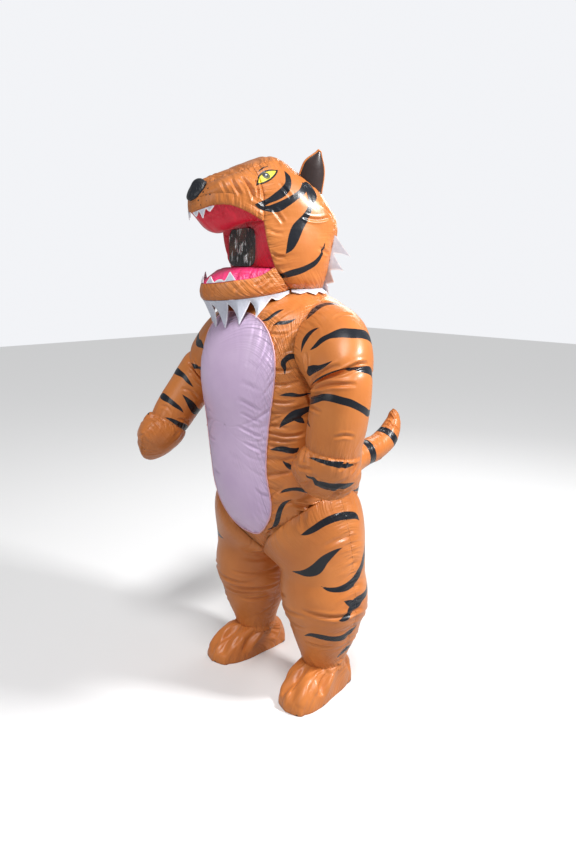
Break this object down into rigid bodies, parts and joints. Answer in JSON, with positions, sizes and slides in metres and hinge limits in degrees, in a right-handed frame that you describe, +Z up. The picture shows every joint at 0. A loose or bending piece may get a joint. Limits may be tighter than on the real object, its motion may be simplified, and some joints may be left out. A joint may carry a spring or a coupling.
{
  "type": "inflatable tiger costume",
  "caption": "Inflatable full-body tiger costume: hollow zipped suit with an open-mouthed head and clear window, mitts, booties, a curled tail and a blower fan in its back.",
  "frame": {"origin": "on the floor, under the middle of the whole costume", "axes": "+Z up, -Y the way the costume's chest faces, +X to the costume's own left"},
  "size_m": [1.0429, 1.0497, 1.936],
  "materials": {
    "orange_cloth": "satin polyester",
    "lilac_cloth": "satin polyester",
    "red_cloth": "satin polyester",
    "pink_cloth": "satin polyester",
    "dark_cloth": "satin polyester",
    "black_cloth": "satin polyester",
    "black_tape": "woven",
    "white_felt": "felt",
    "clear_film": "gloss",
    "black_plastic": "moulded",
    "zip_metal": "satin"
  },
  "bodies": {
    "costume": {"belly": "lilac_cloth", "cheek_left": "orange_cloth", "cheek_right": "orange_cloth", "crown": "orange_cloth", "ear_back_left": "orange_cloth", "ear_back_right": "orange_cloth", "ear_front_left": "dark_cloth", "ear_front_right": "dark_cloth", "fan_grille": "black_plastic", "fan_housing": "black_plastic", "foot_sole_left": "dark_cloth", "foot_sole_right": "dark_cloth", "foot_upper_left": "orange_cloth", "foot_upper_right": "orange_cloth", "head_back": "orange_cloth", "jaw_band": "orange_cloth", "jaw_under": "orange_cloth", "leg_back_left": "orange_cloth", "leg_back_right": "orange_cloth", "leg_front_left": "orange_cloth", "leg_front_right": "orange_cloth", "mitt_back_left": "orange_cloth", "mitt_back_right": "orange_cloth", "mitt_palm_left": "orange_cloth", "mitt_palm_right": "orange_cloth", "mouth_floor": "pink_cloth", "muzzle_left": "orange_cloth", "muzzle_right": "orange_cloth", "nose": "black_cloth", "palate": "red_cloth", "ruff_front": "white_felt", "ruff_left": "white_felt", "ruff_right": "white_felt", "sleeve_left": "orange_cloth", "sleeve_right": "orange_cloth", "tail_left": "orange_cloth", "tail_right": "orange_cloth", "teeth_lower_left": "white_felt", "teeth_lower_right": "white_felt", "teeth_upper_left": "white_felt", "teeth_upper_right": "white_felt", "throat": "red_cloth", "torso_back_left": "orange_cloth", "torso_back_right": "orange_cloth", "torso_front": "orange_cloth", "window": "clear_film", "zip_slider": "zip_metal", "zip_tape_left": "black_tape", "zip_tape_right": "black_tape"},
    "pull": {"zip_pull": "zip_metal"},
    "rotor": {"fan_rotor": "black_plastic"}
  },
  "joints": [
    {"name": "pull_hinge", "type": "hinge", "parent": "costume", "child": "pull", "pos_m": [0.0335, 0.08839, 1.33708], "axis": [1, 0, 0], "range_deg": [0, 150]},
    {"name": "fan_spin", "type": "hinge", "parent": "costume", "child": "rotor", "pos_m": [-0.14211, 0.06516, 0.85], "axis": [-0.5867, 0.8098, 0], "continuous": true}
  ]
}
